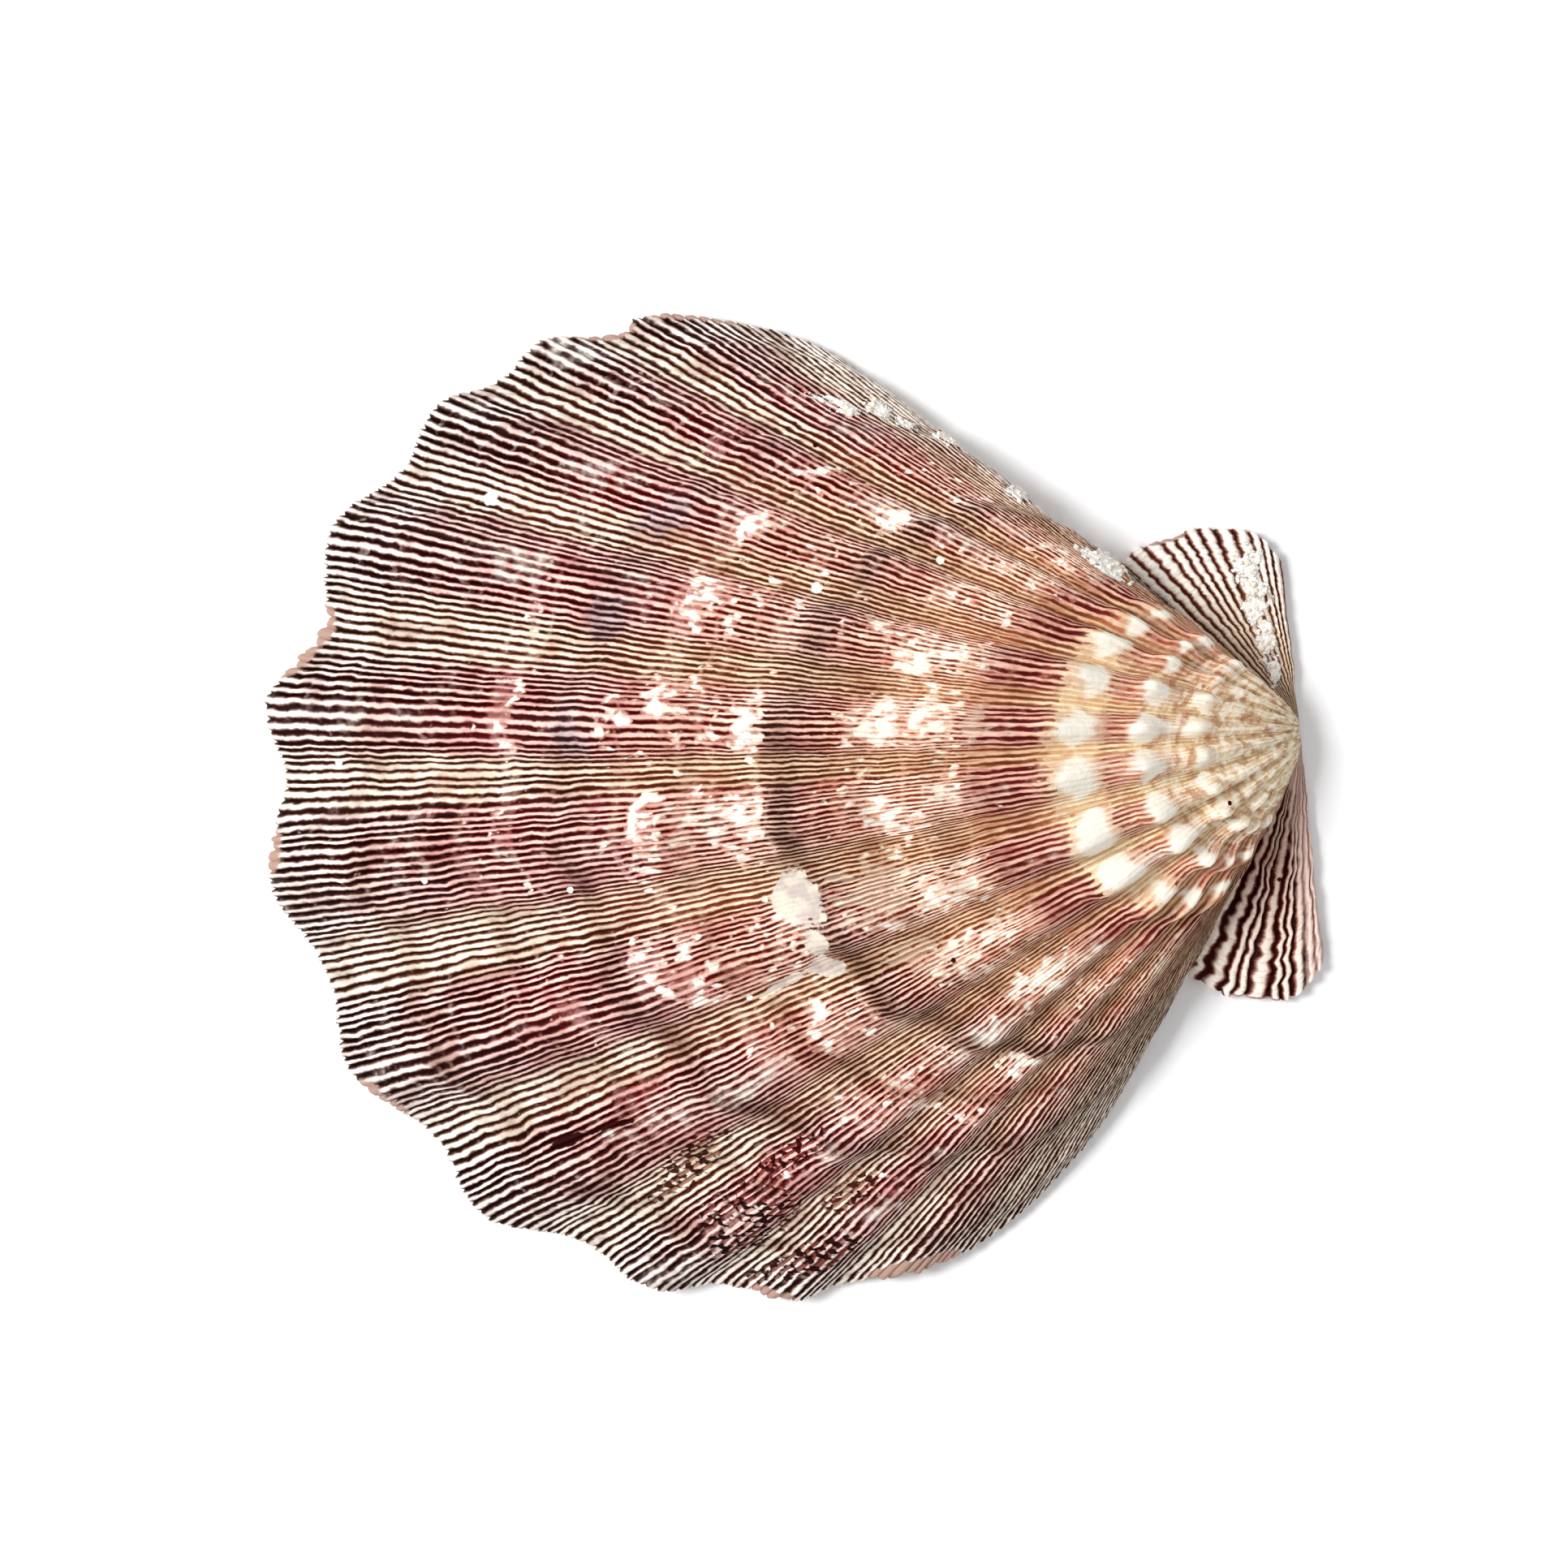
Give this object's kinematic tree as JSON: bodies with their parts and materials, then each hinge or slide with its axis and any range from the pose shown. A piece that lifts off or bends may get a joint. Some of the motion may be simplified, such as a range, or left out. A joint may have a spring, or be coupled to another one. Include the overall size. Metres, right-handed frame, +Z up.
{
  "type": "scallop shell",
  "caption": "Single ribbed scallop valve with knobbed radial folds, growth ledges, a scalloped margin and two unequal ears, lying hollow side down.",
  "frame": {"origin": "middle of the valve's bounding box on the surface that it rests on", "axes": "+X from the far margin to the umbo and hinge line, +Y along the hinge line to the smaller ear, +Z up out of the domed outside"},
  "size_m": [0.1186, 0.1142, 0.0207],
  "materials": {
    "shell": "satin, ribbed maroon and cream shell"
  },
  "bodies": {
    "root": {"scallop_valve": "shell"}
  },
  "joints": []
}
